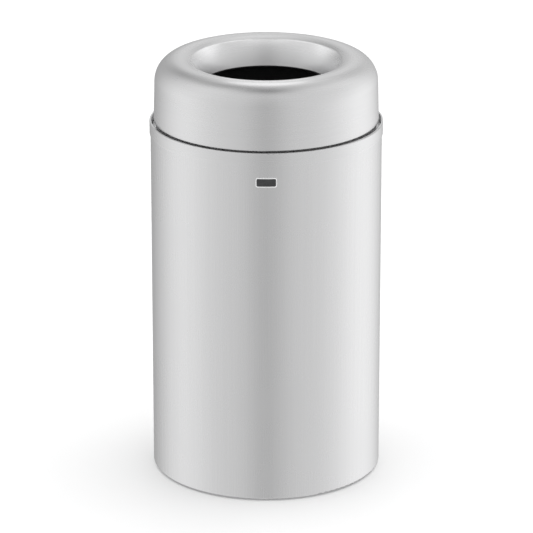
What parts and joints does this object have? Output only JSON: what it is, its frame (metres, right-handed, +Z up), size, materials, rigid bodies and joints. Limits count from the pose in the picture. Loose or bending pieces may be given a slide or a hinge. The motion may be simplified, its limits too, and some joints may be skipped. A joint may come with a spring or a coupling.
{
  "type": "open-top trash can",
  "caption": "Round open-top trash can: rolled aluminium body, spun lift-off top with a bell-mouth throat, and a lift-out rigid liner.",
  "frame": {"origin": "centre of the can on the floor, under the lowest face of the feet", "axes": "+Z up along the can's axis; the front, with the small bare plate, faces -Y; +X is the viewer's right from the front"},
  "size_m": [0.3841, 0.3842, 0.707],
  "materials": {
    "satin_aluminium": "satin, fine brushed and clear anodised",
    "mill_aluminium": "plain mill",
    "foot_rubber": "matt moulded",
    "zinc_steel": "zinc plated",
    "plate_metal": "dark enamel field with a bright border",
    "black_plastic": "matt moulded"
  },
  "bodies": {
    "body": {"body_shell": "satin_aluminium", "rim_band": "satin_aluminium", "ledge_ring": "mill_aluminium", "base_pan": "mill_aluminium", "foot_front_left": "foot_rubber", "foot_front_right": "foot_rubber", "foot_rear_left": "foot_rubber", "foot_rear_right": "foot_rubber", "foot_screws": "zinc_steel", "foot_nuts": "zinc_steel", "front_plate": "plate_metal"},
    "liner": {"liner": "black_plastic"},
    "top": {"spun_top": "satin_aluminium"}
  },
  "joints": [
    {"name": "liner_lift", "type": "slide", "parent": "body", "child": "liner", "axis": [0, 0, 1], "range_m": [0, 0.66]},
    {"name": "top_lift", "type": "slide", "parent": "liner", "child": "top", "axis": [0, 0, 1], "range_m": [0, 0.16]}
  ]
}
